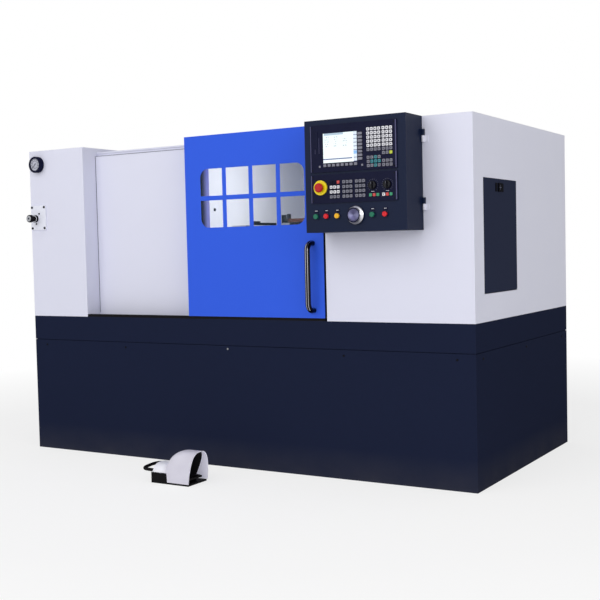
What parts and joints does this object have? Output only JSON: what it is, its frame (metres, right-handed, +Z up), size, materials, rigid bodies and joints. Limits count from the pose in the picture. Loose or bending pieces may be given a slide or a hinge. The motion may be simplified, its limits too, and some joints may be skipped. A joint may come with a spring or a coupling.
{
  "type": "cnc turning lathe",
  "caption": "Enclosed turning lathe with a stand and chip pan, sliding windowed door, operator box, side hatch, headstock with chuck, saddle with turret, and a foot pedal.",
  "frame": {"origin": "centre of the stand's footprint, on the floor, under the middle rib", "axes": "+Z up, -Y the operator's front side, +X the operator's right"},
  "size_m": [2.556, 1.7165, 1.612],
  "materials": {
    "navy_paint": "satin",
    "white_paint": "satin",
    "blue_paint": "satin",
    "box_paint": "satin",
    "black_metal": "satin",
    "rubber": "matte",
    "clear_glazing": "clear",
    "chrome": "polished",
    "steel": "machined",
    "black_plastic": "matte",
    "screen_glass": "gloss",
    "key_plastic": "matte",
    "yellow_plastic": "gloss",
    "red_plastic": "gloss",
    "green_plastic": "gloss",
    "cast_iron": "machined",
    "motor_paint": "satin",
    "brown_paint": "satin",
    "white_plastic": "gloss"
  },
  "bodies": {
    "machine": {"base_stand": "navy_paint", "chip_pan": "navy_paint", "tower_cover": "white_paint", "recess_panel": "white_paint", "roof_cover": "white_paint", "chamber_wall": "white_paint", "right_cabinet": "white_paint", "upper_track": "black_metal", "lower_track": "black_metal", "door_seal": "rubber", "box_hinges": "steel", "pressure_gauge": "black_metal", "valve_plate": "black_metal", "bed_casting": "cast_iron", "headstock": "cast_iron", "spindle_stator": "motor_paint", "feed_servo": "motor_paint", "electrical_plate": "steel", "pedal_base": "black_plastic", "pedal_guard": "white_plastic", "pedal_bail": "black_plastic"},
    "door": {"door_panel": "blue_paint", "door_glazing": "clear_glazing", "door_handle": "chrome", "door_hangers": "steel"},
    "operator_box": {"operator_box": "box_paint", "control_unit": "black_plastic", "screen": "screen_glass", "control_keys": "key_plastic", "machine_panel": "black_plastic", "panel_keys": "key_plastic", "estop_collar": "yellow_plastic"},
    "estop_button": {"estop_button": "red_plastic"},
    "feed_override_knob": {"feed_override_knob": "black_plastic"},
    "rapid_override_knob": {"rapid_override_knob": "black_plastic"},
    "handwheel": {"handwheel": "chrome"},
    "side_hatch": {"side_hatch": "box_paint"},
    "hatch_latch": {"hatch_latch": "black_metal"},
    "gauge_needle": {"gauge_needle": "black_plastic"},
    "valve_knob": {"valve_knob": "black_plastic"},
    "spindle": {"spindle": "steel", "chuck": "steel", "chuck_cylinder": "steel"},
    "jaw_1": {"jaw_1": "steel"},
    "jaw_2": {"jaw_2": "steel"},
    "jaw_3": {"jaw_3": "steel"},
    "saddle": {"saddle": "cast_iron", "cross_servo": "motor_paint"},
    "feed_screw": {"feed_screw": "steel"},
    "cross_slide": {"cross_slide": "cast_iron", "turret_head": "brown_paint"},
    "turret_disc": {"turret_disc": "steel", "tool_holders": "steel"},
    "pedal_treadle": {"pedal_treadle": "black_plastic"},
    "green_button_left": {"green_button_left": "green_plastic"},
    "red_button_left": {"red_button_left": "red_plastic"},
    "yellow_button": {"yellow_button": "yellow_plastic"},
    "green_button_right": {"green_button_right": "green_plastic"},
    "red_button_right": {"red_button_right": "red_plastic"}
  },
  "joints": [
    {"name": "door_slide", "type": "slide", "parent": "machine", "child": "door", "axis": [-1, 0, 0], "range_m": [0, 0.64]},
    {"name": "operator_box_swing", "type": "hinge", "parent": "machine", "child": "operator_box", "pos_m": [1.053, -0.6505, 1.3665], "axis": [0, 0, 1], "range_deg": [0, 90]},
    {"name": "estop_press", "type": "slide", "parent": "operator_box", "child": "estop_button", "axis": [0, 1, 0], "range_m": [0, 0.005]},
    {"name": "green_button_left_press", "type": "slide", "parent": "operator_box", "child": "green_button_left", "axis": [0, 1, 0], "range_m": [0, 0.004], "stiffness_N_per_m": 400, "springref_m": -0.002},
    {"name": "red_button_left_press", "type": "slide", "parent": "operator_box", "child": "red_button_left", "axis": [0, 1, 0], "range_m": [0, 0.004], "stiffness_N_per_m": 400, "springref_m": -0.002},
    {"name": "yellow_button_press", "type": "slide", "parent": "operator_box", "child": "yellow_button", "axis": [0, 1, 0], "range_m": [0, 0.004], "stiffness_N_per_m": 400, "springref_m": -0.002},
    {"name": "green_button_right_press", "type": "slide", "parent": "operator_box", "child": "green_button_right", "axis": [0, 1, 0], "range_m": [0, 0.004], "stiffness_N_per_m": 400, "springref_m": -0.002},
    {"name": "red_button_right_press", "type": "slide", "parent": "operator_box", "child": "red_button_right", "axis": [0, 1, 0], "range_m": [0, 0.004], "stiffness_N_per_m": 400, "springref_m": -0.002},
    {"name": "handwheel_turn", "type": "hinge", "parent": "operator_box", "child": "handwheel", "pos_m": [0.806, -0.8085, 1.193], "axis": [0, -1, 0], "continuous": true},
    {"name": "feed_override_knob_turn", "type": "hinge", "parent": "operator_box", "child": "feed_override_knob", "pos_m": [0.891, -0.8085, 1.3165], "axis": [0, -1, 0], "range_deg": [-135, 135]},
    {"name": "rapid_override_knob_turn", "type": "hinge", "parent": "operator_box", "child": "rapid_override_knob", "pos_m": [0.96, -0.8085, 1.3165], "axis": [0, -1, 0], "range_deg": [-135, 135]},
    {"name": "hatch_drop", "type": "hinge", "parent": "machine", "child": "side_hatch", "pos_m": [1.2675, -0.325, 0.8495], "axis": [0, 1, 0], "range_deg": [0, 90]},
    {"name": "hatch_latch_turn", "type": "hinge", "parent": "side_hatch", "child": "hatch_latch", "pos_m": [1.275, -0.33745, 1.305], "axis": [1, 0, 0], "range_deg": [0, 90]},
    {"name": "gauge_needle_turn", "type": "hinge", "parent": "machine", "child": "gauge_needle", "pos_m": [-1.211, -0.6725, 1.536], "axis": [0, 1, 0], "range_deg": [0, 270], "stiffness_Nm_per_rad": 0.0005},
    {"name": "valve_knob_turn", "type": "hinge", "parent": "machine", "child": "valve_knob", "pos_m": [-1.229, -0.6425, 1.247], "axis": [0, -1, 0], "range_deg": [-180, 180]},
    {"name": "spindle_turn", "type": "hinge", "parent": "machine", "child": "spindle", "pos_m": [-0.213, -0.11, 1.08], "axis": [1, 0, 0], "continuous": true},
    {"name": "jaw_1_slide", "type": "slide", "parent": "spindle", "child": "jaw_1", "axis": [0, 0, -1], "range_m": [0, 0.006]},
    {"name": "jaw_2_slide", "type": "slide", "parent": "spindle", "child": "jaw_2", "axis": [0, 0.866, 0.5], "range_m": [0, 0.006]},
    {"name": "jaw_3_slide", "type": "slide", "parent": "spindle", "child": "jaw_3", "axis": [0, -0.866, 0.5], "range_m": [0, 0.006]},
    {"name": "saddle_feed", "type": "slide", "parent": "machine", "child": "saddle", "axis": [1, 0, 0], "range_m": [0, 0.32]},
    {"name": "feed_screw_turn", "type": "hinge", "parent": "machine", "child": "feed_screw", "pos_m": [0.548, 0.06, 0.79], "axis": [1, 0, 0], "range_deg": [-10, 11540]},
    {"name": "cross_feed", "type": "slide", "parent": "saddle", "child": "cross_slide", "axis": [0, -1, 0], "range_m": [-0.03, 0.1]},
    {"name": "turret_index", "type": "hinge", "parent": "cross_slide", "child": "turret_disc", "pos_m": [-0.162, 0.15, 1.08], "axis": [1, 0, 0], "continuous": true},
    {"name": "treadle_press", "type": "hinge", "parent": "machine", "child": "pedal_treadle", "pos_m": [-0.038, -1.004, 0.02083], "axis": [0, 1, 0], "range_deg": [0, 6], "stiffness_Nm_per_rad": 3, "springref_deg": -5.73}
  ],
  "couplings": [
    {"joint": "jaw_2_slide", "follows": "jaw_1_slide", "ratio": 1},
    {"joint": "jaw_3_slide", "follows": "jaw_1_slide", "ratio": 1},
    {"joint": "feed_screw_turn", "follows": "saddle_feed", "rad_per_m": 628.32}
  ]
}
